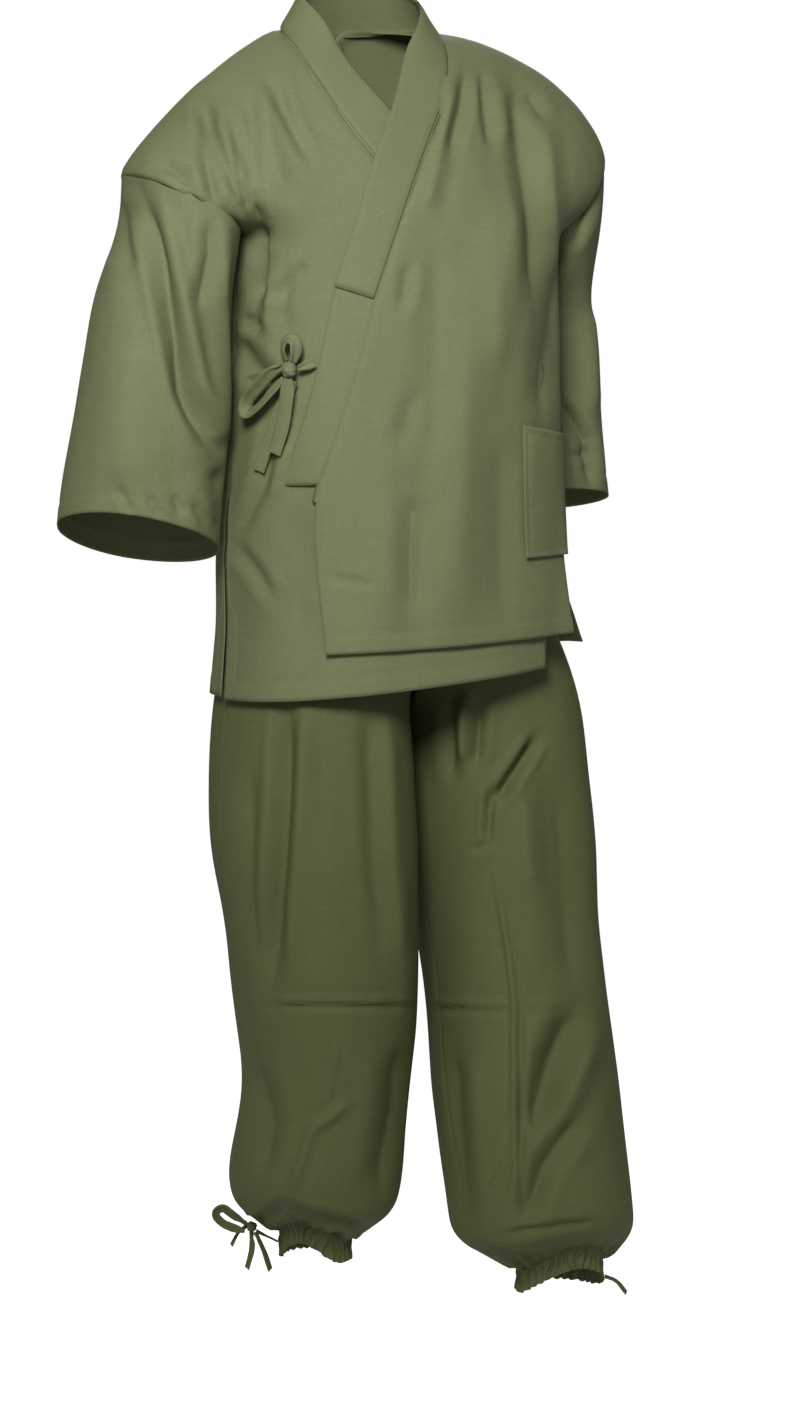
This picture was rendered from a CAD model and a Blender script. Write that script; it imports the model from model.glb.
"""The looks of a worn samue: a wrapped cotton jacket over loose trousers gathered at the ankles.

Each sewn piece is a thin shell of cloth on the form of its solid in the frame. Folds are pressed
into it by hand, hems are turned up and stitched, and the ties are flat strips of the same cloth.
"""
import math
from collections import namedtuple

import bmesh
import bpy
import numpy as np
from bpy.props import FloatProperty, FloatVectorProperty, PointerProperty
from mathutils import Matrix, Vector, noise
from mathutils.kdtree import KDTree


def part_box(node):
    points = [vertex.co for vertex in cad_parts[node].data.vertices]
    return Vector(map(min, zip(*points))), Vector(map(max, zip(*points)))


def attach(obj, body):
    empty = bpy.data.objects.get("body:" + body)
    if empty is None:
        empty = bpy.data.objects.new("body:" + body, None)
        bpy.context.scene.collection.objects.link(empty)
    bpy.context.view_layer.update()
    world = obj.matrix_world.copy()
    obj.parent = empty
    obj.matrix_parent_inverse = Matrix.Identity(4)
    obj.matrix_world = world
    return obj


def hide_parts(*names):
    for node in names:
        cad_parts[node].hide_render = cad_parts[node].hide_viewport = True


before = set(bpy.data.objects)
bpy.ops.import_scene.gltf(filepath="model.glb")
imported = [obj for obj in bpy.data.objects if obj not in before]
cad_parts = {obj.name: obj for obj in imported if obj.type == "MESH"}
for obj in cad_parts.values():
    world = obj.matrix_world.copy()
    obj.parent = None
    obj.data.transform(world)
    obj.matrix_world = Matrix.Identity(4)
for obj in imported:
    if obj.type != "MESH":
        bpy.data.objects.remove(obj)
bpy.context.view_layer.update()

bl_info = {
    "name": "Samue",
    "version": (1, 0, 0),
    "blender": (4, 5, 0),
    "location": "3D View > Sidebar > Samue",
    "description": "Builds a worn cotton samue around its frame",
    "category": "Object",
}

MM = 0.001
CM = 0.01

# ---------------------------------------------------------------- where the viewers stand
# Folds are placed on an upright board through the origin that faces a viewer. A board's places
# are in centimetres across and up from its middle.
EYE_DISTANCE = 4.2
EYE_HEIGHT = -0.37
BOARD_MIDDLE = -0.73
FRONT_AZIMUTH = -25.0
BACK_AZIMUTH = 155.0
LENS = 97.7
SENSOR = 36.0
PICTURE_WIDTH = 796
PICTURE_HEIGHT = 1402
PICTURE_SHIFT = 23
PICTURE_MIDDLE = PICTURE_WIDTH / 2 - PICTURE_SHIFT
# What one pixel of the picture spans on the front board, in cm.
PIXEL = math.hypot(EYE_DISTANCE, EYE_HEIGHT - BOARD_MIDDLE) / CM * SENSOR / LENS / PICTURE_HEIGHT

RIDGE = 1
TROUGH = -1
Fold = namedtuple("Fold", "form width depth path")  # width in cm, depth in mm, path in cm

# Creases that the camera sees, placed by hand. Half width and path are in pixels of the camera's
# picture, across and down, and depth is in mm.
Crease = namedtuple("Crease", "form width depth path")

FRONT_CREASES = {
    "right_body": [
        Crease(TROUGH, 5, 3, [(275, 68), (290, 120), (312, 165)]),
        Crease(TROUGH, 5, 2.5, [(266, 75), (284, 118)]),
        Crease(RIDGE, 8, 2, [(258, 82), (272, 140), (285, 200)]),
        Crease(TROUGH, 6, 2.5, [(250, 98), (254, 150), (262, 190)]),
        Crease(TROUGH, 6, 4.5, [(200, 98), (206, 150), (217, 210)]),
        Crease(TROUGH, 6, 5.5, [(204, 98), (220, 148), (241, 205)]),
        Crease(RIDGE, 6, 3, [(214, 112), (230, 160), (240, 195)]),
        Crease(TROUGH, 5, 4, [(234, 122), (239, 175), (252, 225)]),
        Crease(TROUGH, 6, 4.5, [(243, 130), (250, 180), (262, 235)]),
        Crease(TROUGH, 6, 3, [(160, 162), (178, 172), (188, 188)]),
        Crease(TROUGH, 9, 8, [(262, 222), (265, 265), (252, 305)]),
        Crease(RIDGE, 7, 4, [(270, 225), (272, 290), (270, 345)]),
        Crease(TROUGH, 5, 3.5, [(265, 292), (285, 292), (310, 262)]),
        Crease(TROUGH, 5, 4, [(240, 318), (264, 330)]),
        Crease(TROUGH, 9, 6, [(236, 340), (260, 372), (280, 386)]),
        Crease(TROUGH, 6, 3.5, [(281, 405), (266, 485), (240, 540)]),
        Crease(RIDGE, 6, 2, [(292, 440), (274, 500)]),
        Crease(TROUGH, 6, 3, [(240, 545), (262, 575), (276, 602)]),
        Crease(RIDGE, 22, 3, [(300, 180), (290, 330)]),
        Crease(TROUGH, 12, 3, [(300, 500), (297, 640)]),
    ],
    "left_body": [
        Crease(RIDGE, 8, 3, [(455, 70), (441, 140), (425, 220)]),
        Crease(TROUGH, 6, 4, [(466, 70), (462, 105), (450, 155)]),
        Crease(TROUGH, 5, 3, [(481, 70), (488, 115), (492, 150)]),
        Crease(RIDGE, 8, 2.5, [(500, 85), (508, 145)]),
        Crease(TROUGH, 9, 5.5, [(511, 74), (522, 150), (533, 235), (536, 320)]),
        Crease(RIDGE, 8, 2.5, [(546, 118), (552, 200), (556, 290)]),
        Crease(TROUGH, 6, 3, [(528, 90), (545, 122)]),
        Crease(RIDGE, 16, 4, [(516, 190), (500, 290), (497, 380)]),
        Crease(TROUGH, 6, 3, [(408, 262), (404, 310)]),
        Crease(TROUGH, 9, 3, [(414, 390), (400, 447)]),
        Crease(TROUGH, 14, 4.5, [(417, 490), (414, 620)]),
        Crease(RIDGE, 14, 2.5, [(394, 500), (391, 640)]),
        Crease(TROUGH, 11, 5, [(561, 250), (554, 330), (541, 420)]),
        Crease(RIDGE, 22, 3.5, [(470, 300), (462, 470), (455, 640)]),
        Crease(TROUGH, 18, 3.5, [(500, 430), (506, 640)]),
        Crease(TROUGH, 4, 1.2, [(327, 577), (375, 585)]),
        Crease(TROUGH, 14, 3, [(440, 230), (436, 380), (430, 470)]),
    ],
    "right_sleeve": [
        Crease(TROUGH, 8, 10, [(139, 186), (160, 260), (172, 320), (186, 390), (206, 440), (228, 458)]),
        Crease(RIDGE, 9, 4, [(153, 205), (177, 290), (197, 380), (216, 432)]),
        Crease(TROUGH, 7, 3.5, [(209, 215), (211, 255), (200, 312)]),
        Crease(RIDGE, 7, 3, [(222, 228), (223, 330), (226, 440)]),
        Crease(TROUGH, 10, 4.5, [(120, 196), (129, 275)]),
        Crease(TROUGH, 4, 2, [(148, 497), (160, 517)]),
        Crease(TROUGH, 4, 2, [(174, 494), (181, 516)]),
        Crease(TROUGH, 4, 2, [(190, 502), (201, 526)]),
        Crease(TROUGH, 13, 7, [(214, 462), (226, 500), (222, 540)]),
        Crease(RIDGE, 24, 4, [(130, 330), (122, 500)]),
        Crease(TROUGH, 4, 2, [(118, 486), (132, 515)]),
    ],
    "left_sleeve": [
        Crease(TROUGH, 6, 4.5, [(602, 168), (585, 215), (563, 255)]),
        Crease(TROUGH, 4, 2.5, [(580, 166), (600, 168)]),
        Crease(TROUGH, 5, 3.5, [(578, 138), (578, 212)]),
        Crease(TROUGH, 6, 4.5, [(553, 396), (585, 440), (593, 492)]),
        Crease(TROUGH, 4, 2.5, [(568, 457), (594, 452)]),
        Crease(RIDGE, 8, 3, [(590, 300), (594, 420)]),
    ],
    "right_leg": [
        Crease(TROUGH, 8, 7, [(289, 690), (284, 800), (276, 900), (270, 1000)]),
        Crease(RIDGE, 10, 3.5, [(302, 690), (299, 850), (291, 985)]),
        Crease(RIDGE, 9, 4.5, [(386, 700), (391, 860), (402, 960), (407, 988)]),
        Crease(TROUGH, 9, 3.5, [(370, 700), (376, 860), (385, 935)]),
        Crease(RIDGE, 3, 1.8, [(262, 1000), (340, 1000), (420, 1000)]),
        Crease(TROUGH, 3, 1.8, [(262, 1006), (340, 1006), (420, 1006)]),
        Crease(RIDGE, 5, 3, [(356, 1098), (312, 1130), (302, 1160), (288, 1202)]),
        Crease(TROUGH, 13, 7, [(402, 1040), (397, 1110), (378, 1200)]),
        Crease(RIDGE, 3, 1.3, [(338, 1040), (326, 1112)]),
        Crease(TROUGH, 5, 5, [(282, 1204), (310, 1216), (345, 1223), (374, 1227)]),
        Crease(TROUGH, 5, 5, [(282, 1204), (262, 1216), (250, 1228)]),
        Crease(TROUGH, 4, 3, [(300, 1230), (348, 1238)]),
        Crease(TROUGH, 9, 5.5, [(250, 760), (248, 880), (258, 980)]),
        Crease(TROUGH, 10, 5.5, [(255, 1060), (270, 1120), (262, 1180)]),
    ],
    "left_leg": [
        Crease(RIDGE, 6, 4.5, [(463, 690), (466, 765)]),
        Crease(TROUGH, 6, 4.5, [(481, 700), (474, 768)]),
        Crease(TROUGH, 6, 3, [(447, 700), (451, 780)]),
        Crease(TROUGH, 5, 8, [(539, 736), (503, 790), (491, 803)]),
        Crease(TROUGH, 4, 4, [(491, 786), (487, 843)]),
        Crease(TROUGH, 3, 3, [(472, 851), (490, 843)]),
        Crease(RIDGE, 3, 2.5, [(492, 852), (509, 955), (514, 1000), (516, 1226)]),
        Crease(TROUGH, 4, 2, [(520, 1000), (521, 1222)]),
        Crease(RIDGE, 3, 1.8, [(430, 1001), (512, 1004)]),
        Crease(TROUGH, 3, 2, [(430, 1008), (512, 1012)]),
        Crease(RIDGE, 3, 1.2, [(520, 1004), (580, 1000)]),
        Crease(TROUGH, 12, 11, [(579, 1006), (552, 1062), (530, 1135)]),
        Crease(RIDGE, 10, 6, [(592, 1040), (572, 1090), (560, 1112)]),
        Crease(TROUGH, 9, 9, [(584, 1112), (545, 1166), (520, 1226)]),
        Crease(RIDGE, 3, 1.6, [(515, 1147), (490, 1192)]),
        Crease(TROUGH, 4, 3, [(500, 1236), (560, 1226), (602, 1222)]),
        Crease(TROUGH, 4, 3, [(478, 1246), (520, 1256), (545, 1254)]),
        Crease(TROUGH, 15, 4.5, [(556, 760), (566, 900), (574, 1000)]),
        Crease(RIDGE, 10, 3.5, [(520, 770), (530, 900)]),
        Crease(TROUGH, 9, 5, [(452, 1040), (458, 1150), (466, 1230)]),
    ],
}


def picture_fold(crease):
    """A crease of the picture as a fold on the front board."""
    path = [
        ((across - PICTURE_MIDDLE) * PIXEL, (PICTURE_HEIGHT / 2 - down) * PIXEL)
        for across, down in crease.path
    ]
    return Fold(crease.form, crease.width * PIXEL, crease.depth, path)


FRONT_FOLDS = {group: [picture_fold(c) for c in creases] for group, creases in FRONT_CREASES.items()}

BACK_FOLDS = {
    "right_body": [
        Fold(TROUGH, 0.8, 4, [(14, 66), (11, 58), (10, 48)]),
        Fold(TROUGH, 0.7, 5, [(18, 63), (15.5, 55), (13, 47)]),
        Fold(RIDGE, 2.0, 3, [(8, 68), (7, 50), (7, 30)]),
        Fold(TROUGH, 2.0, 3.5, [(4, 60), (3, 40), (4, 20)]),
        Fold(TROUGH, 1.8, 4, [(12, 40), (11, 25), (12, 8)]),
        Fold(RIDGE, 1.6, 3, [(8, 26), (8, 6)]),
    ],
    "left_body": [
        Fold(TROUGH, 0.8, 4.5, [(-15, 66), (-12, 58), (-11, 46)]),
        Fold(TROUGH, 0.7, 5, [(-18, 62), (-16, 53), (-13.5, 46)]),
        Fold(RIDGE, 2.0, 3, [(-8, 66), (-8, 46), (-7, 26)]),
        Fold(TROUGH, 1.8, 3.5, [(-4, 56), (-4, 36), (-5, 18)]),
        Fold(TROUGH, 1.6, 4, [(-13, 38), (-12, 24), (-14, 6)]),
        Fold(RIDGE, 1.6, 3, [(-9, 24), (-10, 5)]),
    ],
    "right_sleeve": [
        Fold(TROUGH, 0.9, 7, [(28, 54), (26, 45), (27, 34), (25, 25)]),
        Fold(RIDGE, 1.2, 3.5, [(25, 52), (24, 38), (23, 26)]),
        Fold(TROUGH, 0.7, 4, [(20, 52), (21, 42), (20, 32)]),
        Fold(TROUGH, 0.5, 2.5, [(30, 26), (28, 21)]),
    ],
    "left_sleeve": [
        Fold(TROUGH, 0.9, 6, [(-23, 56), (-20, 46), (-21, 36), (-19, 28)]),
        Fold(RIDGE, 1.2, 3.5, [(-18, 54), (-17, 40), (-16, 28)]),
        Fold(TROUGH, 0.7, 4, [(-14, 52), (-15, 42), (-14, 33)]),
        Fold(TROUGH, 0.5, 2.5, [(-24, 30), (-22, 25)]),
    ],
    "right_leg": [
        Fold(TROUGH, 1.2, 5, [(10, 0), (9, -15), (10, -30)]),
        Fold(RIDGE, 1.3, 4, [(4, 0), (4, -20), (5, -32)]),
        Fold(TROUGH, 0.9, 4, [(0, -30), (7, -33), (14, -31)]),
        Fold(TROUGH, 0.8, 3, [(2, -36), (8, -38), (13, -36)]),
        Fold(TROUGH, 1.1, 5, [(13, -38), (9, -48), (6, -57)]),
        Fold(RIDGE, 1.0, 3, [(4, -42), (3, -55)]),
    ],
    "left_leg": [
        Fold(TROUGH, 1.2, 5, [(-18, 0), (-17, -16), (-18, -32)]),
        Fold(RIDGE, 1.3, 4, [(-12, 0), (-12, -20), (-13, -32)]),
        Fold(TROUGH, 0.9, 4, [(-22, -33), (-16, -35), (-9, -33)]),
        Fold(TROUGH, 0.8, 3, [(-20, -39), (-14, -41), (-9, -39)]),
        Fold(TROUGH, 1.1, 5, [(-21, -42), (-17, -52), (-13, -60)]),
        Fold(RIDGE, 1.0, 3, [(-11, -44), (-10, -58)]),
    ],
}

# ---------------------------------------------------------------- the pieces and their cloth
# wall is the solid's wall in mm; group names the folds; flat is the cut's width and length.
Piece = namedtuple("Piece", "node wall group levels held flat rests_on")
JACKET_BODY = [
    Piece("jacket_body_left", 1.8, "left_body", 3, "draped", (0.36, 1.42), ["jacket_sleeve_left"]),
    Piece("jacket_body_right", 1.8, "right_body", 3, "draped", (0.35, 1.44), ["jacket_sleeve_right"]),
]
JACKET_SLEEVES = [
    Piece("jacket_sleeve_left", 1.8, "left_sleeve", 3, "draped", (0.50, 0.38), ["jacket_body_left"]),
    Piece("jacket_sleeve_right", 1.8, "right_sleeve", 3, "draped", (0.50, 0.40), ["jacket_body_right"]),
]
JACKET_COLLAR = [
    Piece("jacket_collar", 2.2, "collar", 3, "draped", (0.06, 1.45), ["jacket_body_left"]),
    Piece("jacket_collar_cover", 1.1, "collar", 3, "draped", (0.055, 1.0), ["jacket_collar"]),
]
JACKET_POCKET = [
    Piece("jacket_pocket", 1.2, "left_body", 3, "draped", (0.11, 0.14), ["jacket_body_left"]),
]
TROUSER_LEGS = [
    Piece("trousers_front_right", 1.8, "right_leg", 3, "draped", (0.31, 0.93), ["trousers_back_right"]),
    Piece("trousers_back_right", 1.8, "right_leg", 3, "draped", (0.31, 0.93), ["trousers_front_right"]),
    Piece("trousers_front_left", 1.8, "left_leg", 3, "draped", (0.31, 0.96), ["trousers_back_left"]),
    Piece("trousers_back_left", 1.8, "left_leg", 3, "draped", (0.32, 0.96), ["trousers_front_left"]),
]
TROUSER_BAND = [
    Piece("trousers_waistband", 1.8, "band", 2, "gathered", (0.82, 0.034), ["trousers_front_left"]),
]
ANKLE_CASINGS = [
    Piece("trousers_hem_right", 1.5, "casing", 3, "gathered", (0.29, 0.040), ["trousers_front_right"]),
    Piece("trousers_hem_left", 1.5, "casing", 3, "gathered", (0.34, 0.040), ["trousers_front_left"]),
]
# Each tie's width in mm, and how far in degrees it is turned from its solid's strip.
JACKET_TIES = {
    "loop_side": {"width": 15, "tilt": 48},
    "loop_upper": {"width": 15, "tilt": 40},
    "tail_wide": {"width": 16, "tilt": 0},
    "tail_narrow": {"width": 13, "tilt": 20},
    "strap_collar": {"width": 11, "tilt": 0},
    "strap_side": {"width": 13, "tilt": 0},
}
ANKLE_TIES = {
    "right_strap": {"width": 10, "tilt": 0},
    "right_loop": {"width": 12, "tilt": 45},
    "right_tail_wide": {"width": 12, "tilt": 20},
    "right_tail_narrow": {"width": 11, "tilt": 30},
    "right_tail_back": {"width": 10, "tilt": 20},
    "left_strap": {"width": 10, "tilt": 20},
}
TIE_COLUMNS = 7
TIE_WALL = 1.4
# Pieces whose seam edges go in under the piece that they are sewn to.
TUCKED = (
    "jacket_sleeve_left", "jacket_sleeve_right", "jacket_body_left", "jacket_body_right",
    "trousers_back_right", "trousers_back_left", "trousers_front_right", "trousers_front_left",
)
# A sheet's flat sides are at least this long.
LEAST_FLAT = 10.1 * MM
# A body's borders below its hem level are its lower hem. Its free edges, at the front and at the
# side slits, start below EDGE_TOP. Where they hang is given across, with how far they sway.
BODY_HEM_LEVEL = -0.635
EDGE_TOP = -0.505
FRONT_EDGE = {"left_body": -0.118, "right_body": 0.125}
EDGE_SWAY = 0.025
SLIT_SIDE = 0.125
SLEEVE_HEM_LEVEL = -0.45
# A seam's allowance: how far it reaches in under its neighbour, further at the neck and the
# ankles, and how far behind the cloth it lies.
SEAM_REACH = 5 * MM
END_REACH = 12 * MM
TUCK_DEPTH = 2.2 * MM
NECK_LEVEL = -0.09
ANKLE_LEVEL = -1.20
# A crease up to this half width in cm is deepened by this factor.
CREASE_WIDTH = 0.9
CREASE_GAIN = 1.35
# Topstitching beside a trouser leg's side seam: its distance from the seam, and where it starts and ends.
SIDE_STITCH = 5 * MM
SIDE_STITCH_TOP = -0.50
SIDE_STITCH_END = -1.22
SIDE_SEAM_OUT = 0.05
# Depths of the hem's edge, of its stitched line and of a seam.
HEM_RISE = 0.5 * MM
STITCH_SINK = 0.7 * MM
SEAM_SINK = 1.0 * MM
COLLAR_RIPPLE = 0.35
# Gathers: how many go round, and how high they stand. The casing's two heights are in mm.
ANKLE_GATHERS = 22
ANKLE_GATHER_HEIGHT = 3.6 * MM
CASING_GATHERS = 31
CASING_GATHER_HEIGHT = 1.9
CASING_UNEVENNESS = 1.2
BAND_GATHERS = 46
BAND_GATHER_HEIGHT = 1.6 * MM
# How far the right side of the body and the right sleeve stand out below the armpit.
BODY_FULLNESS = 6 * MM
SLEEVE_FULLNESS = 7 * MM
TIE_THICKNESS = 1.3 * MM

# ---------------------------------------------------------------- the stage
FLOOR_LEVEL = -1.42
FLOOR_REACH = 12
FLOOR_GLOW = 0.84
LIGHT_TARGET = (0, 0, -0.30)
LIGHT_SPREAD = 70
KEY_PLACE = (-1.40, -2.25, 0.95)
BACK_FILL_PLACE = (1.4, 2.6, 1.0)
BACK_FILL_SHARE = 0.6


# ---------------------------------------------------------------- settings
class SamueClothSettings(bpy.types.PropertyGroup):
    jacket_colour: FloatVectorProperty(
        name="Jacket colour", description="Colour of the jacket's cotton",
        subtype="COLOR", default=(0.160, 0.177, 0.086), min=0, max=1)
    trouser_colour: FloatVectorProperty(
        name="Trouser colour", description="Colour of the trousers' cotton",
        subtype="COLOR", default=(0.104, 0.118, 0.047), min=0, max=1)
    thickness: FloatProperty(
        name="Cloth thickness", description="Thickness of one layer of cloth",
        default=0.9 * MM, min=0.3 * MM, max=3 * MM, unit="LENGTH")
    fold_strength: FloatProperty(
        name="Fold strength", description="How deep the folds are pressed",
        default=1.35, min=0, max=2, subtype="FACTOR")
    ripple: FloatProperty(
        name="Ripple", description="Height of the loose unevenness between folds",
        default=1.5 * MM, min=0, max=5 * MM, unit="LENGTH")


class SamueSewingSettings(bpy.types.PropertyGroup):
    hem_width: FloatProperty(
        name="Hem width", description="Depth of the turned-up hems",
        default=20 * MM, min=5 * MM, max=60 * MM, unit="LENGTH")
    edge_width: FloatProperty(
        name="Edge width", description="Distance of the topstitching from the front edges",
        default=7 * MM, min=2 * MM, max=30 * MM, unit="LENGTH")
    stitch_length: FloatProperty(
        name="Stitch length", description="Length of one stitch",
        default=2.4 * MM, min=1 * MM, max=6 * MM, unit="LENGTH")
    stitch_gap: FloatProperty(
        name="Stitch gap", description="Gap between two stitches",
        default=0.9 * MM, min=0.3 * MM, max=6 * MM, unit="LENGTH")
    thread_width: FloatProperty(
        name="Thread width", description="Width of the sewing thread",
        default=0.55 * MM, min=0.2 * MM, max=2 * MM, unit="LENGTH")


class SamueStageSettings(bpy.types.PropertyGroup):
    floor_colour: FloatVectorProperty(
        name="Floor colour", description="Colour of the plain floor",
        subtype="COLOR", default=(0.90, 0.90, 0.90), min=0, max=1)
    key_power: FloatProperty(
        name="Key light", description="Power of the large front light",
        default=14.5, min=0, max=2000, unit="POWER")
    room_light: FloatProperty(
        name="Room light", description="Even light from all around",
        default=0.19, min=0, max=2, subtype="FACTOR")


# ---------------------------------------------------------------- placing folds
def toward_viewer(azimuth):
    turn = math.radians(azimuth)
    return np.array([math.sin(turn), -math.cos(turn), 0.0])


def board_places(places, azimuth):
    """Where each place shows on the board, in centimetres across and up from its middle."""
    facing = toward_viewer(azimuth)
    eye = facing * EYE_DISTANCE + np.array([0, 0, EYE_HEIGHT])
    look = np.array([0, 0, BOARD_MIDDLE]) - eye
    reach = np.linalg.norm(look)
    look /= reach
    across = np.array([-facing[1], facing[0], 0.0])
    up = np.cross(across, look)
    seen = places - eye
    depth = seen @ look
    return np.stack([seen @ across, seen @ up], 1) * (reach / depth)[:, None] / CM


def distance_to_path(points, path):
    """Each point's distance from a path, and how far along the path it lies, 0 to 1."""
    path = np.array(path, float)
    lengths = np.linalg.norm(np.diff(path, axis=0), axis=1)
    before = np.concatenate([[0], np.cumsum(lengths)])
    best = np.full(len(points), 1e9)
    along = np.zeros(len(points))
    for start, end, length, done in zip(path[:-1], path[1:], lengths, before):
        step = (end - start) / length
        share = np.clip((points - start) @ step, 0, length)
        gap = np.linalg.norm(points - start - share[:, None] * step, axis=1)
        nearer = gap < best
        best[nearer] = gap[nearer]
        along[nearer] = (done + share[nearer]) / before[-1]
    return best, along


def ease(value):
    value = np.clip(value, 0, 1)
    return value * value * (3 - 2 * value)


def fold_heights(places, normals, folds, azimuth):
    """Height in metres that a table of folds raises each place by, seen from one side."""
    board = board_places(places, azimuth)
    shown = ease((normals @ toward_viewer(azimuth)) / 0.35)
    height = np.zeros(len(places))
    for fold in folds:
        gap, along = distance_to_path(board, fold.path)
        gap = gap / fold.width
        taper = ease(along / 0.22) * ease((1 - along) / 0.22)
        profile = np.exp(-gap ** 1.5) - 0.3 * np.exp(-((gap - 2.2) / 0.9) ** 2)
        depth = fold.depth * MM * (CREASE_GAIN if fold.width <= CREASE_WIDTH else 1)
        height += fold.form * depth * profile * (0.15 + 0.85 * taper)
    return height * shown


def ripple_heights(places, size):
    """Soft unevenness: long upright waves with a little slack between them."""
    heights = [
        noise.noise(Vector((x * 17, y * 17, z * 4.5))) + 0.45 * noise.noise(Vector((x * 42, y * 42, z * 15)))
        for x, y, z in places
    ]
    return np.array(heights) * size


# ---------------------------------------------------------------- cloth from a solid's outer skin
def outer_skin(node, wall):
    """The outer skin of a solid's cloth wall, as a bmesh with its rim and inner skin taken off."""
    bm = bmesh.new()
    bm.from_mesh(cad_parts[node].data)
    bmesh.ops.remove_doubles(bm, verts=bm.verts, dist=0.01 * MM)
    bm.normal_update()
    rim = [f for f in bm.faces if any(abs(e.calc_length() - wall * MM) < 0.006 * MM for e in f.edges)]
    bmesh.ops.delete(bm, geom=rim, context="FACES")
    middle = sum((v.co for v in bm.verts), Vector()) / len(bm.verts)
    skins = []
    left = set(bm.faces)
    while left:
        skin, waiting = [], [left.pop()]
        while waiting:
            face = waiting.pop()
            skin.append(face)
            for near in {f for e in face.edges for f in e.link_faces if f in left}:
                left.discard(near)
                waiting.append(near)
        outwardness = sum(f.calc_area() * f.normal.dot(f.calc_center_median() - middle) for f in skin)
        skins.append((outwardness, skin))
    skins.sort(key=lambda pair: pair[0])
    inner = [f for pair in skins[:-1] for f in pair[1]]
    bmesh.ops.delete(bm, geom=inner, context="FACES")
    return bm


def join_cells(bm):
    """Joins a grid's triangles back into its four-sided cells."""
    bm.faces.ensure_lookup_table()
    first = bm.faces[0]
    family = {edge: number for number, edge in enumerate(first.edges)}
    seen, waiting = {first}, [first]
    while waiting:
        face = waiting.pop()
        for edge in face.edges:
            for other in edge.link_faces:
                if other in seen:
                    continue
                seen.add(other)
                waiting.append(other)
                for vert in edge.verts:
                    near = next(e for e in face.edges if e is not edge and vert in e.verts)
                    far = next(e for e in other.edges if e is not edge and vert not in e.verts)
                    family[far] = family[near]
    on_border = {family[e] for e in bm.edges if e.is_boundary}
    inside = [number for number in range(3) if number not in on_border] or [0, 1, 2]

    def mean_length(number):
        lengths = [e.calc_length() for e in bm.edges if family[e] == number]
        return sum(lengths) / len(lengths)

    diagonal = max(inside, key=mean_length)
    across = [e for e in bm.edges if family[e] == diagonal]
    bmesh.ops.dissolve_edges(bm, edges=across, use_verts=False)


def add_object(name, bm):
    mesh = bpy.data.meshes.new(name)
    bm.to_mesh(mesh)
    bm.free()
    piece = bpy.data.objects.new(name, mesh)
    bpy.context.scene.collection.objects.link(piece)
    return piece


def apply_modifiers(piece):
    depsgraph = bpy.context.evaluated_depsgraph_get()
    mesh = bpy.data.meshes.new_from_object(piece.evaluated_get(depsgraph))
    piece.modifiers.clear()
    piece.data = mesh
    mesh.name = piece.name


def smooth_out(piece, levels):
    rounding = piece.modifiers.new("rounding", "SUBSURF")
    rounding.levels = levels
    rounding.render_levels = levels
    rounding.boundary_smooth = "PRESERVE_CORNERS"
    apply_modifiers(piece)


def thicken(piece, thickness):
    layer = piece.modifiers.new("thickness", "SOLIDIFY")
    layer.thickness = thickness
    layer.offset = -1
    apply_modifiers(piece)


def vertex_places(piece):
    values = np.empty(len(piece.data.vertices) * 3)
    piece.data.vertices.foreach_get("co", values)
    return values.reshape(-1, 3)


def vertex_normals(piece):
    values = np.empty(len(piece.data.vertices) * 3)
    piece.data.vertex_normals.foreach_get("vector", values)
    return values.reshape(-1, 3)


def write_places(piece, places):
    piece.data.vertices.foreach_set("co", places.ravel())
    piece.data.update()


def border_distances(piece, wanted):
    """Each vertex's distance from the open borders whose middles pass the test `wanted`."""
    bm = bmesh.new()
    bm.from_mesh(piece.data)
    samples = []
    for edge in bm.edges:
        start, end = edge.verts[0].co, edge.verts[1].co
        if edge.is_boundary and wanted((start + end) / 2):
            samples += [start.lerp(end, share) for share in (0.0, 0.25, 0.5, 0.75)]
    bm.free()
    if not samples:
        return np.full(len(piece.data.vertices), 1.0)
    tree = KDTree(len(samples))
    for number, sample in enumerate(samples):
        tree.insert(sample, number)
    tree.balance()
    return np.array([tree.find(v.co)[2] for v in piece.data.vertices])


def level_lines(piece, values, level):
    """Chains of places where the values on a piece's vertices cross a level, with their normals."""
    bm = bmesh.new()
    bm.from_mesh(piece.data)
    bm.verts.index_update()
    crossings, links = {}, {}
    for face in bm.faces:
        crossed = []
        for edge in face.edges:
            first, second = (values[v.index] - level for v in edge.verts)
            if first * second >= 0:
                continue
            share = first / (first - second)
            start, end = edge.verts
            normal = start.normal.lerp(end.normal, share).normalized()
            crossings[edge] = (start.co.lerp(end.co, share), normal)
            crossed.append(edge)
        if len(crossed) == 2:
            links.setdefault(crossed[0], []).append(crossed[1])
            links.setdefault(crossed[1], []).append(crossed[0])
    chains, seen = [], set()
    for start in sorted(links, key=lambda edge: len(links[edge])):
        if start in seen:
            continue
        chain, edge = [], start
        while edge is not None:
            seen.add(edge)
            chain.append(crossings[edge])
            edge = next((near for near in links[edge] if near not in seen), None)
        chains.append(chain)
    bm.free()
    return chains


STITCHES = {"jacket": [], "trousers": []}


def sew(kind, chains, length, gap):
    """Notes down stitches of one length, a gap apart, along chains of places."""
    for chain in chains:
        path = [chain[0]]
        for place in chain[1:]:
            if (place[0] - path[-1][0]).length > 20 * MM:
                sew_path(kind, path, length, gap)
                path = [place]
            else:
                path.append(place)
        sew_path(kind, path, length, gap)


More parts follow.
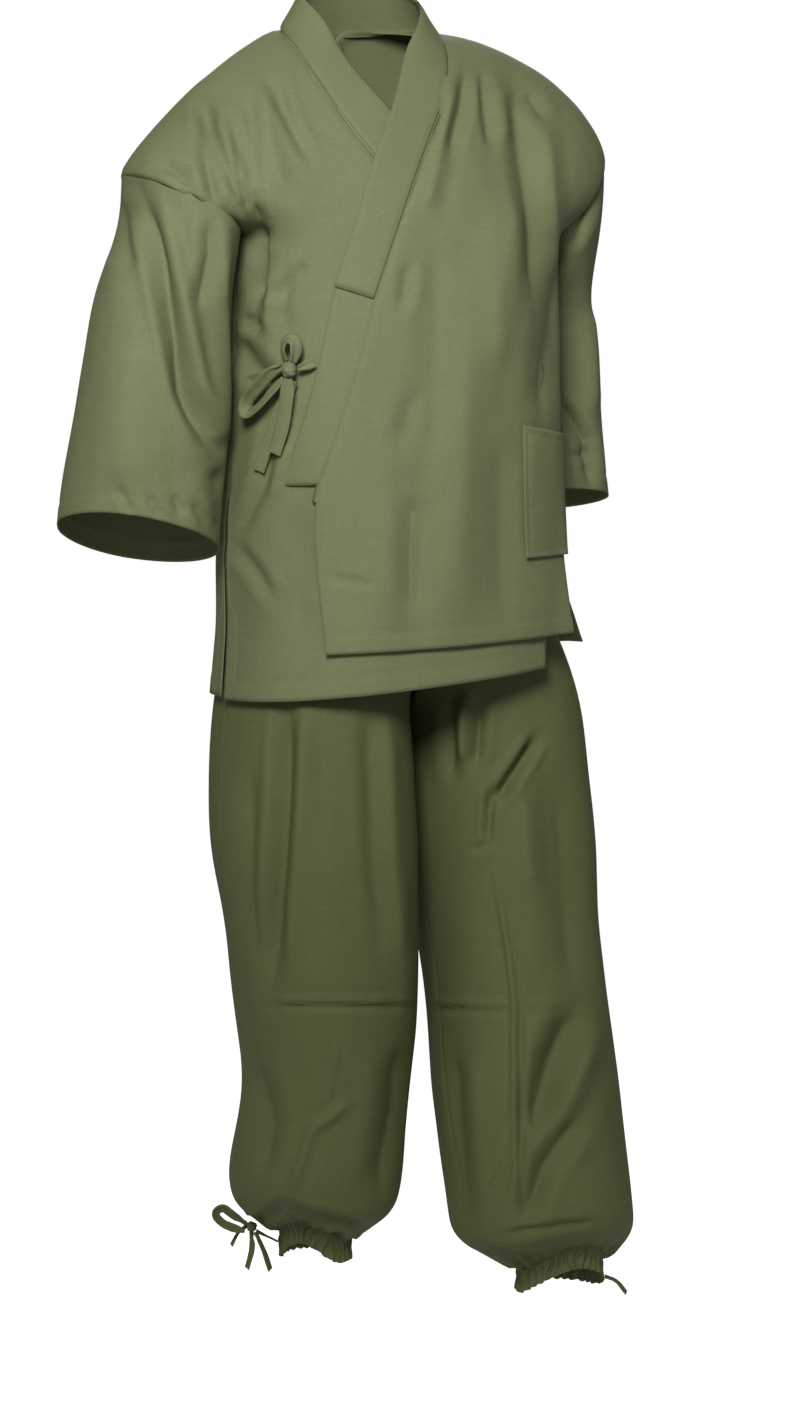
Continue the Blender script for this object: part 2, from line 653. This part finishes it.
def sew_path(kind, path, length, gap):
    places = np.array([place for place, _ in path])
    normals = np.array([normal for _, normal in path])
    if len(places) < 4:
        return
    walked = np.concatenate([[0], np.cumsum(np.linalg.norm(np.diff(places, axis=0), axis=1))])

    def at(distance, rows):
        return Vector([np.interp(distance, walked, rows[:, axis]) for axis in range(3)])

    start = gap
    while start + length < walked[-1]:
        STITCHES[kind].append((at(start, places), at(start + length, places), at(start, normals)))
        start += length + gap


def is_free_edge(group, co):
    """Whether a place on a body lies at its front edge or at a side slit."""
    return abs(co.x - FRONT_EDGE[group]) < EDGE_SWAY or abs(co.x) > SLIT_SIDE


def is_hem(group, node):
    """A test that tells a piece's hems and free edges from its seams."""
    if node == "jacket_pocket":
        return lambda co: True
    if group.endswith("body"):
        return lambda co: co.z < BODY_HEM_LEVEL or (co.z < EDGE_TOP and is_free_edge(group, co))
    if group.endswith("sleeve"):
        return lambda co: co.z < SLEEVE_HEM_LEVEL
    return lambda co: False


def is_upper_border(places):
    """A test for the upper border of a slanting ring, against the ring's mean height at the same turn."""
    middle = (places.min(0) + places.max(0)) / 2
    turns = np.arctan2(places[:, 1] - middle[1], places[:, 0] - middle[0])

    def test(co):
        near = np.cos(turns - np.arctan2(co.y - middle[1], co.x - middle[0])) > 0.98
        return co.z > places[near, 2].mean()

    return test


def is_side_seam(co, middle, outward):
    """A test for a leg's outer seam between the jacket's hem and the ankle."""
    return SIDE_STITCH_END < co.z < SIDE_STITCH_TOP and (co.x - middle) * outward > SIDE_SEAM_OUT


def tuck_reach(co):
    """A seam's allowance is wider at the neck and the ankles, where more of it could be seen."""
    return END_REACH if co.z > NECK_LEVEL or co.z < ANKLE_LEVEL else SEAM_REACH


def tuck_seams(piece, wanted):
    """Adds a narrow allowance behind a piece's seam edges, tucked in under what it is sewn to."""
    bm = bmesh.new()
    bm.from_mesh(piece.data)
    seams = [e for e in bm.edges if e.is_boundary and wanted((e.verts[0].co + e.verts[1].co) / 2)]
    away = {}
    for edge in seams:
        face = edge.link_faces[0]
        middle = (edge.verts[0].co + edge.verts[1].co) / 2
        along = (edge.verts[1].co - edge.verts[0].co).normalized()
        out = middle - face.calc_center_median()
        out -= along * out.dot(along)
        for vert in edge.verts:
            away.setdefault(vert, Vector())
            away[vert] += out.normalized()
    normals = {vert: vert.normal.copy() for vert in away}
    made = bmesh.ops.extrude_edge_only(bm, edges=seams)["geom"]
    new_verts = [g for g in made if isinstance(g, bmesh.types.BMVert)]
    tree = KDTree(len(away))
    old = list(away)
    for number, vert in enumerate(old):
        tree.insert(vert.co, number)
    tree.balance()
    sources = [old[tree.find(vert.co)[1]] for vert in new_verts]
    for vert, source in zip(new_verts, sources):
        vert.co += away[source].normalized() * tuck_reach(vert.co) - normals[source] * TUCK_DEPTH
    bm.to_mesh(piece.data)
    bm.free()


def ankle_gathers(places, side, edge):
    """Gathers that run up from an ankle casing into the leg."""
    low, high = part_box(f"trousers_hem_{side}")
    middle = (np.array(low) + np.array(high)) / 2
    turn = np.arctan2(places[:, 1] - middle[1], places[:, 0] - middle[0])
    wander = 2.2 * np.sin(3 * turn + 1.0)
    rise = places[:, 2] - high[2]
    near = np.exp(-np.clip(rise + 0.02, 0, 1) / 0.022)
    reach = np.hypot(places[:, 0] - middle[0], places[:, 1] - middle[1])
    pulled_in = ease((0.095 - reach) / 0.04)
    held = ease(edge / (9 * MM))
    return ANKLE_GATHER_HEIGHT * np.sin(ANKLE_GATHERS * turn + wander) * near * pulled_in * held


def casing_ruffles(places, edge):
    """The close uneven gathers of an elastic casing, held flat at its upper edge."""
    middle = (places.min(0) + places.max(0)) / 2
    turn = np.arctan2(places[:, 1] - middle[1], places[:, 0] - middle[0])
    uneven = np.array([noise.noise(Vector(p) * 60) for p in places])
    gathers = CASING_GATHER_HEIGHT * np.sin(CASING_GATHERS * turn + 5 * uneven)
    return (gathers + CASING_UNEVENNESS * uneven) * MM * ease(edge / (8 * MM))


def side_fullness(places, normals, node):
    """Brings the right sleeve's inner side and the body's side near each other below the armpit."""
    below = ease((-0.27 - places[:, 2]) / 0.14)
    if node == "jacket_body_right":
        below *= ease((places[:, 2] + 0.66) / 0.10)
        aside = ease(-normals[:, 0] / 0.6) * ease((-0.13 - places[:, 0]) / 0.03)
        return BODY_FULLNESS * below * aside
    inward = ease(normals[:, 0] / 0.7)
    return SLEEVE_FULLNESS * below * inward


def build_cloth(settings, facts, name, material):
    """Makes one sewn piece's cloth from its solid, with folds, hems and thickness."""
    bm = outer_skin(facts.node, facts.wall)
    join_cells(bm)
    cloth = add_object(name, bm)
    smooth_out(cloth, facts.levels)
    group = facts.group
    places, normals = vertex_places(cloth), vertex_normals(cloth)
    height = ripple_heights(places, settings.ripple)
    if group in FRONT_FOLDS:
        folded = fold_heights(places, normals, FRONT_FOLDS[group], FRONT_AZIMUTH)
        folded += fold_heights(places, normals, BACK_FOLDS[group], BACK_AZIMUTH)
        height += folded * settings.fold_strength
    if group == "collar":
        height *= COLLAR_RIPPLE
    if group == "band":
        turn = np.arctan2(places[:, 1], places[:, 0])
        height += BAND_GATHER_HEIGHT * np.sin(BAND_GATHERS * turn + 3 * np.sin(5 * turn))
    if group.endswith("leg"):
        side = group.split("_")[0]
        casing_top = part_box(f"trousers_hem_{side}")[1][2]
        edge = border_distances(cloth, lambda co: co.z < casing_top + 0.02)
        height += ankle_gathers(places, side, edge)
    if group == "casing":
        upper = is_upper_border(places)
        height += casing_ruffles(places, border_distances(cloth, upper))
    if facts.node in ("jacket_body_right", "jacket_sleeve_right"):
        height += side_fullness(places, normals, facts.node)
    sewing = bpy.context.scene.samue_sewing
    hem_test = is_hem(group, facts.node)
    hem = border_distances(cloth, hem_test)
    if facts.node.startswith("jacket_body"):
        lower = border_distances(cloth, lambda co: hem_test(co) and co.z < BODY_HEM_LEVEL)
        upright = border_distances(cloth, lambda co: hem_test(co) and co.z >= BODY_HEM_LEVEL)
        hem = np.minimum(lower, upright * sewing.hem_width / sewing.edge_width)
    width = sewing.edge_width if facts.node == "jacket_pocket" else sewing.hem_width
    height += HEM_RISE * ease((width - hem) / (2 * MM) + 0.5)
    height -= STITCH_SINK * np.exp(-((hem - width) / (2.4 * MM)) ** 2)
    seam = border_distances(cloth, lambda co: not hem_test(co))
    height -= SEAM_SINK * ease(1 - seam / (6 * MM))
    write_places(cloth, places + normals * height[:, None])
    kind = facts.node.split("_")[0]
    if hem.min() < width:
        sew(kind, level_lines(cloth, hem, width), sewing.stitch_length, sewing.stitch_gap)
    if facts.node.startswith("trousers_front"):
        outward = np.sign(places[:, 0].mean())
        beside = border_distances(cloth, lambda co: is_side_seam(co, places[:, 0].mean(), outward))
        sew(kind, level_lines(cloth, beside, SIDE_STITCH), sewing.stitch_length, sewing.stitch_gap)
    if facts.node in TUCKED:
        tuck_seams(cloth, lambda co: not hem_test(co))
    if group == "casing":
        tuck_seams(cloth, upper)
    thicken(cloth, settings.thickness)
    finish_piece(cloth, facts, material)


def finish_piece(piece, facts, material):
    piece.data.materials.clear()
    piece.data.materials.append(material)
    piece.data.shade_smooth()
    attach(piece, "root")
    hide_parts(facts.node)


# ---------------------------------------------------------------- materials
def cotton(name, colour):
    """Plain woven cotton: two crossing threads, uneven slubs and a slight bloom."""
    if name in bpy.data.materials:
        return bpy.data.materials[name]
    material = bpy.data.materials.new(name)
    material.use_nodes = True
    nodes, links = material.node_tree.nodes, material.node_tree.links
    shader = nodes["Principled BSDF"]
    shader.inputs["Roughness"].default_value = 0.72
    shader.inputs["Specular IOR Level"].default_value = 0.16
    shader.inputs["Sheen Weight"].default_value = 0.03
    shader.inputs["Sheen Roughness"].default_value = 0.5
    shader.inputs["Sheen Tint"].default_value = (*[min(1.0, 3 * c) for c in colour], 1)
    place = nodes.new("ShaderNodeTexCoord")

    def stretched_noise(scale, stretch, detail):
        mapping = nodes.new("ShaderNodeMapping")
        mapping.inputs["Scale"].default_value = stretch
        links.new(place.outputs["Object"], mapping.inputs["Vector"])
        texture = nodes.new("ShaderNodeTexNoise")
        texture.inputs["Scale"].default_value = scale
        texture.inputs["Detail"].default_value = detail
        links.new(mapping.outputs["Vector"], texture.inputs["Vector"])
        return texture.outputs["Fac"]

    def mean_of(first, second, share=0.5):
        mix = nodes.new("ShaderNodeMix")
        mix.data_type = "FLOAT"
        mix.inputs["Factor"].default_value = share
        links.new(first, mix.inputs[2])
        links.new(second, mix.inputs[3])
        return mix.outputs[0]

    def bump(strength, distance, height):
        relief = nodes.new("ShaderNodeBump")
        relief.inputs["Strength"].default_value = strength
        relief.inputs["Distance"].default_value = distance
        links.new(height, relief.inputs["Height"])
        return relief

    upright = stretched_noise(60, (12, 12, 1), 3)
    level = stretched_noise(60, (1, 1, 12), 3)
    slub = mean_of(upright, level)
    wear = stretched_noise(7, (1, 1, 0.5), 2)
    tone = mean_of(slub, wear, 0.35)
    ramp = nodes.new("ShaderNodeValToRGB")
    ramp.color_ramp.elements[0].position = 0.30
    ramp.color_ramp.elements[0].color = (*[c * 0.84 for c in colour], 1)
    ramp.color_ramp.elements[1].position = 0.70
    ramp.color_ramp.elements[1].color = (*[min(1.0, c * 1.16) for c in colour], 1)
    links.new(tone, ramp.inputs["Fac"])
    links.new(ramp.outputs["Color"], shader.inputs["Base Color"])
    threads = []
    for direction in ("X", "Z"):
        wave = nodes.new("ShaderNodeTexWave")
        wave.bands_direction = direction
        wave.inputs["Scale"].default_value = 420
        wave.inputs["Distortion"].default_value = 1.2
        links.new(place.outputs["Object"], wave.inputs["Vector"])
        threads.append(wave.outputs["Fac"])
    weave = bump(0.35, 0.25 * MM, slub)
    thread_relief = bump(0.12, 0.12 * MM, mean_of(*threads))
    links.new(weave.outputs["Normal"], thread_relief.inputs["Normal"])
    links.new(thread_relief.outputs["Normal"], shader.inputs["Normal"])
    return material


def jacket_cotton():
    return cotton("jacket_cloth", bpy.context.scene.samue_cloth.jacket_colour)


def trouser_cotton():
    return cotton("trouser_cloth", bpy.context.scene.samue_cloth.trouser_colour)


def thread_material(name, colour):
    """Sewing thread a shade lighter than its cloth, uneven, with a soft shine."""
    material = bpy.data.materials.new(name)
    material.use_nodes = True
    nodes, links = material.node_tree.nodes, material.node_tree.links
    shader = nodes["Principled BSDF"]
    shader.inputs["Roughness"].default_value = 0.6
    place = nodes.new("ShaderNodeTexCoord")
    texture = nodes.new("ShaderNodeTexNoise")
    texture.inputs["Scale"].default_value = 900
    ramp = nodes.new("ShaderNodeValToRGB")
    ramp.color_ramp.elements[0].color = (*[c * 0.95 for c in colour], 1)
    ramp.color_ramp.elements[1].color = (*[min(1.0, c * 1.45) for c in colour], 1)
    links.new(place.outputs["Object"], texture.inputs["Vector"])
    links.new(texture.outputs["Fac"], ramp.inputs["Fac"])
    links.new(ramp.outputs["Color"], shader.inputs["Base Color"])
    return material


# ---------------------------------------------------------------- operators
def build_group(context, pieces, material):
    for facts in pieces:
        build_cloth(context.scene.samue_cloth, facts, f"cloth_{facts.node}", material)


class SAMUE_OT_stage(bpy.types.Operator):
    """Camera, lights and a plain pale floor"""

    bl_idname = "samue.stage"
    bl_label = "Build stage"

    def execute(self, context):
        settings = context.scene.samue_stage
        facing = Vector(toward_viewer(FRONT_AZIMUTH))
        camera_data = bpy.data.cameras.new("camera")
        camera_data.lens = LENS
        camera_data.sensor_width = SENSOR
        camera_data.shift_x = PICTURE_SHIFT / PICTURE_HEIGHT
        camera = bpy.data.objects.new("camera", camera_data)
        camera.location = facing * EYE_DISTANCE + Vector((0, 0, EYE_HEIGHT))
        look = Vector((0, 0, BOARD_MIDDLE)) - camera.location
        camera.rotation_euler = look.to_track_quat("-Z", "Y").to_euler()
        context.scene.collection.objects.link(camera)
        context.scene.camera = camera

        bm = bmesh.new()
        bmesh.ops.create_grid(bm, x_segments=1, y_segments=1, size=FLOOR_REACH)
        bmesh.ops.translate(bm, verts=bm.verts, vec=(0, 0, FLOOR_LEVEL))
        floor = add_object("floor", bm)
        paint = bpy.data.materials.new("floor_paint")
        paint.use_nodes = True
        nodes, links = paint.node_tree.nodes, paint.node_tree.links
        shader = nodes["Principled BSDF"]
        shader.inputs["Base Color"].default_value = (*settings.floor_colour, 1)
        shader.inputs["Roughness"].default_value = 0.9
        glow = nodes.new("ShaderNodeEmission")
        glow.inputs["Strength"].default_value = FLOOR_GLOW
        seen = nodes.new("ShaderNodeLightPath")
        both = nodes.new("ShaderNodeAddShader")
        either = nodes.new("ShaderNodeMixShader")
        links.new(shader.outputs[0], both.inputs[0])
        links.new(glow.outputs[0], both.inputs[1])
        links.new(seen.outputs["Is Camera Ray"], either.inputs[0])
        links.new(shader.outputs[0], either.inputs[1])
        links.new(both.outputs[0], either.inputs[2])
        links.new(either.outputs[0], nodes["Material Output"].inputs["Surface"])
        floor.data.materials.append(paint)

        def soft_light(name, place, size, power):
            data = bpy.data.lights.new(name, "AREA")
            data.shape = "RECTANGLE"
            data.size, data.size_y = size
            data.energy = power
            data.spread = math.radians(LIGHT_SPREAD)
            light = bpy.data.objects.new(name, data)
            light.location = place
            aim = Vector(LIGHT_TARGET) - light.location
            light.rotation_euler = aim.to_track_quat("-Z", "Y").to_euler()
            context.scene.collection.objects.link(light)

        soft_light("key", KEY_PLACE, (0.9, 0.9), settings.key_power)
        soft_light("back_fill", BACK_FILL_PLACE, (1.6, 2.0), settings.key_power * BACK_FILL_SHARE)
        world = context.scene.world or bpy.data.worlds.new("studio")
        context.scene.world = world
        world.use_nodes = True
        nodes, links = world.node_tree.nodes, world.node_tree.links
        room = nodes["Background"]
        room.inputs["Color"].default_value = (1, 1, 1, 1)
        room.inputs["Strength"].default_value = settings.room_light
        paper = nodes.new("ShaderNodeBackground")
        paper.inputs["Strength"].default_value = 1
        path = nodes.new("ShaderNodeLightPath")
        either = nodes.new("ShaderNodeMixShader")
        links.new(path.outputs["Is Camera Ray"], either.inputs[0])
        links.new(room.outputs[0], either.inputs[1])
        links.new(paper.outputs[0], either.inputs[2])
        links.new(either.outputs[0], nodes["World Output"].inputs["Surface"])
        paper.inputs["Color"].default_value = (1, 1, 1, 1)
        context.scene.view_settings.view_transform = "Standard"
        return {"FINISHED"}


class SAMUE_OT_jacket_body(bpy.types.Operator):
    """Both halves of the jacket's body"""

    bl_idname = "samue.jacket_body"
    bl_label = "Build jacket body"

    def execute(self, context):
        build_group(context, JACKET_BODY, jacket_cotton())
        return {"FINISHED"}


class SAMUE_OT_sleeves(bpy.types.Operator):
    """Both sleeves"""

    bl_idname = "samue.sleeves"
    bl_label = "Build sleeves"

    def execute(self, context):
        build_group(context, JACKET_SLEEVES, jacket_cotton())
        return {"FINISHED"}


class SAMUE_OT_collar(bpy.types.Operator):
    """The collar band and the second layer over it"""

    bl_idname = "samue.collar"
    bl_label = "Build collar"

    def execute(self, context):
        build_group(context, JACKET_COLLAR, jacket_cotton())
        return {"FINISHED"}


class SAMUE_OT_pocket(bpy.types.Operator):
    """The patch pocket on the left front"""

    bl_idname = "samue.pocket"
    bl_label = "Build pocket"

    def execute(self, context):
        build_group(context, JACKET_POCKET, jacket_cotton())
        return {"FINISHED"}


class SAMUE_OT_trousers(bpy.types.Operator):
    """Leg panels, waistband and ankle casings"""

    bl_idname = "samue.trousers"
    bl_label = "Build trousers"

    def execute(self, context):
        pieces = TROUSER_LEGS + TROUSER_BAND + ANKLE_CASINGS
        build_group(context, pieces, trouser_cotton())
        return {"FINISHED"}


def build_knot(node, name, material):
    """A knot: a soft lump with the tie wound over it."""
    low, high = (Vector(corner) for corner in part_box(node))
    half = (high - low) / 2
    bm = bmesh.new()
    bmesh.ops.create_uvsphere(bm, u_segments=40, v_segments=28, radius=1)
    for vert in bm.verts:
        turn = math.atan2(vert.co.y, vert.co.x)
        groove = 0.07 * math.sin(5 * vert.co.z + 1.6 * turn) + 0.035 * math.sin(11 * vert.co.z - turn)
        vert.co = vert.co * (0.93 + groove) * half
    bmesh.ops.translate(bm, verts=bm.verts, vec=(low + high) / 2)
    knot = add_object(name, bm)
    knot.data.materials.append(material)
    knot.data.shade_smooth()
    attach(knot, "root")
    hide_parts(node)


def strip_line(bm):
    """A strip's middle places and its ways across, from one end to the other."""
    ends = [e for e in bm.edges if e.is_boundary and all(len(v.link_edges) == 2 for v in e.verts)]
    edge, face = ends[0], ends[0].link_faces[0]
    rows = [edge]
    while face is not None:
        edge = next(e for e in face.edges if not set(e.verts) & set(edge.verts))
        rows.append(edge)
        face = next((f for f in edge.link_faces if f is not face), None)
    across = [rows[0].verts[1].co - rows[0].verts[0].co]
    for row in rows[1:]:
        way = row.verts[1].co - row.verts[0].co
        across.append(way if way.dot(across[-1]) > 0 else -way)
    middles = [(row.verts[0].co + row.verts[1].co) / 2 for row in rows]
    return np.array(middles), np.array(across)


def smooth_rows(rows, count):
    """Rows read at evenly spaced places along a smooth curve through them."""
    at = np.linspace(0, len(rows) - 1, count)
    index = np.clip(at.astype(int), 0, len(rows) - 2)
    share = (at - index)[:, None]
    before = rows[np.clip(index - 1, 0, None)]
    after = rows[np.clip(index + 2, None, len(rows) - 1)]
    start, end = rows[index], rows[index + 1]
    bend = 2 * before - 5 * start + 4 * end - after
    twist = 3 * (start - end) + after - before
    return start + 0.5 * share * (end - before + share * (bend + share * twist))


def build_ties(context, prefix, ties, knot_node, material):
    """Ties as soft strips: bunched where they leave the knot, creased along their length."""
    low, high = (np.array(corner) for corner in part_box(knot_node))
    knot_middle = (low + high) / 2
    for name, tie in ties.items():
        node = f"{prefix}_tie_{name}"
        bm = outer_skin(node, TIE_WALL)
        join_cells(bm)
        middles, across = strip_line(bm)
        bm.free()
        rows = 14 * len(middles)
        middles, across = smooth_rows(middles, rows), smooth_rows(across, rows)
        along = np.gradient(middles, axis=0)
        along /= np.linalg.norm(along, axis=1)[:, None]
        across -= along * np.sum(across * along, axis=1)[:, None]
        across /= np.linalg.norm(across, axis=1)[:, None]
        facing = np.cross(along, across)
        tilt = math.radians(tie["tilt"])
        turned = across * math.cos(tilt) + facing * math.sin(tilt)
        facing = np.cross(along, turned)
        reach = np.linalg.norm(middles - knot_middle, axis=1)
        bunched = ease((reach - 6 * MM) / (16 * MM))
        width = tie["width"] * MM * (0.5 + 0.5 * bunched)
        columns = np.linspace(-0.5, 0.5, TIE_COLUMNS)
        walk = np.concatenate([[0], np.cumsum(np.linalg.norm(np.diff(middles, axis=0), axis=1))])
        bm = bmesh.new()
        grid = []
        for row in range(rows):
            fold = (1 - bunched[row]) * 1.8 + 0.55
            sway = 0.9 * math.sin(walk[row] * 150 + len(name))
            line = []
            for column in columns:
                lift = fold * math.cos(column * 9.5 + sway) - 1.2 * abs(column)
                place = middles[row] + turned[row] * column * width[row] + facing[row] * lift * MM * 0.8
                line.append(bm.verts.new(place))
            grid.append(line)
        for near, far in zip(grid[:-1], grid[1:]):
            for index in range(TIE_COLUMNS - 1):
                bm.faces.new((near[index], near[index + 1], far[index + 1], far[index]))
        piece = add_object(f"cloth_{node}", bm)
        thicken(piece, TIE_THICKNESS)
        flat = (max(LEAST_FLAT, tie["width"] * MM), max(LEAST_FLAT, walk[-1]))
        facts = Piece(node, TIE_WALL, "tie", 0, "folded", flat, [])
        finish_piece(piece, facts, material)


class SAMUE_OT_ties(bpy.types.Operator):
    """The bow at the jacket's right side and the ties at the ankles"""

    bl_idname = "samue.ties"
    bl_label = "Build ties"

    def execute(self, context):
        build_ties(context, "jacket", JACKET_TIES, "jacket_tie_knot", jacket_cotton())
        ankle_knot = "trousers_tie_right_knot"
        build_ties(context, "trousers", ANKLE_TIES, ankle_knot, trouser_cotton())
        build_knot("jacket_tie_knot", "cloth_jacket_knot", jacket_cotton())
        build_knot("trousers_tie_right_knot", "cloth_ankle_knot", trouser_cotton())
        return {"FINISHED"}


def build_stitches(name, stitches, width, material):
    """One mesh of short raised threads, each a low three-sided bar along its stitch."""
    bm = bmesh.new()
    for start, end, normal in stitches:
        along = end - start
        side = normal.cross(along).normalized() * (width / 2)
        rise = normal.normalized() * (width * 0.45)
        sunk = -rise * 0.6
        corners = ((-1, sunk), (0, rise), (1, sunk))
        ring = [
            [bm.verts.new(place + side * share + offset) for share, offset in corners]
            for place in (start + along * 0.02, start + along * 0.98)
        ]
        for index in range(3):
            following = (index + 1) % 3
            bm.faces.new((ring[0][index], ring[1][index], ring[1][following], ring[0][following]))
        bm.faces.new(ring[0])
        bm.faces.new(reversed(ring[1]))
    bmesh.ops.recalc_face_normals(bm, faces=bm.faces)
    thread = add_object(name, bm)
    thread.data.materials.append(material)
    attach(thread, "root")


class SAMUE_OT_stitches(bpy.types.Operator):
    """The topstitching of hems, edges and pocket, in thread of the cloth's colour"""

    bl_idname = "samue.stitches"
    bl_label = "Build stitches"

    def execute(self, context):
        width = context.scene.samue_sewing.thread_width
        cloth = context.scene.samue_cloth
        jacket_thread = thread_material("jacket_thread", cloth.jacket_colour)
        trouser_thread = thread_material("trouser_thread", cloth.trouser_colour)
        build_stitches("jacket_stitches", STITCHES["jacket"], width, jacket_thread)
        build_stitches("trouser_stitches", STITCHES["trousers"], width, trouser_thread)
        return {"FINISHED"}


class SAMUE_PT_panel(bpy.types.Panel):
    """Lists the samue's settings and builders"""

    bl_label = "Samue"
    bl_idname = "SAMUE_PT_panel"
    bl_space_type = "VIEW_3D"
    bl_region_type = "UI"
    bl_category = "Samue"

    def draw(self, context):
        for group, settings in SETTINGS.items():
            box = self.layout.box()
            for name in settings.__annotations__:
                box.prop(getattr(context.scene, group), name)
        for operator in OPERATORS:
            self.layout.operator(operator.bl_idname)


OPERATORS = [
    SAMUE_OT_stage,
    SAMUE_OT_jacket_body,
    SAMUE_OT_sleeves,
    SAMUE_OT_collar,
    SAMUE_OT_pocket,
    SAMUE_OT_trousers,
    SAMUE_OT_ties,
    SAMUE_OT_stitches,
]
SETTINGS = {
    "samue_cloth": SamueClothSettings,
    "samue_sewing": SamueSewingSettings,
    "samue_stage": SamueStageSettings,
}


def register():
    for name, settings in SETTINGS.items():
        bpy.utils.register_class(settings)
        setattr(bpy.types.Scene, name, PointerProperty(type=settings))
    for operator in OPERATORS:
        bpy.utils.register_class(operator)
    bpy.utils.register_class(SAMUE_PT_panel)


def unregister():
    bpy.utils.unregister_class(SAMUE_PT_panel)
    for operator in reversed(OPERATORS):
        bpy.utils.unregister_class(operator)
    for name, settings in SETTINGS.items():
        delattr(bpy.types.Scene, name)
        bpy.utils.unregister_class(settings)


def main():
    register()
    bpy.ops.samue.stage()
    bpy.ops.samue.jacket_body()
    bpy.ops.samue.sleeves()
    bpy.ops.samue.collar()
    bpy.ops.samue.pocket()
    bpy.ops.samue.trousers()
    bpy.ops.samue.ties()
    bpy.ops.samue.stitches()


if __name__ == "__main__":
    main()
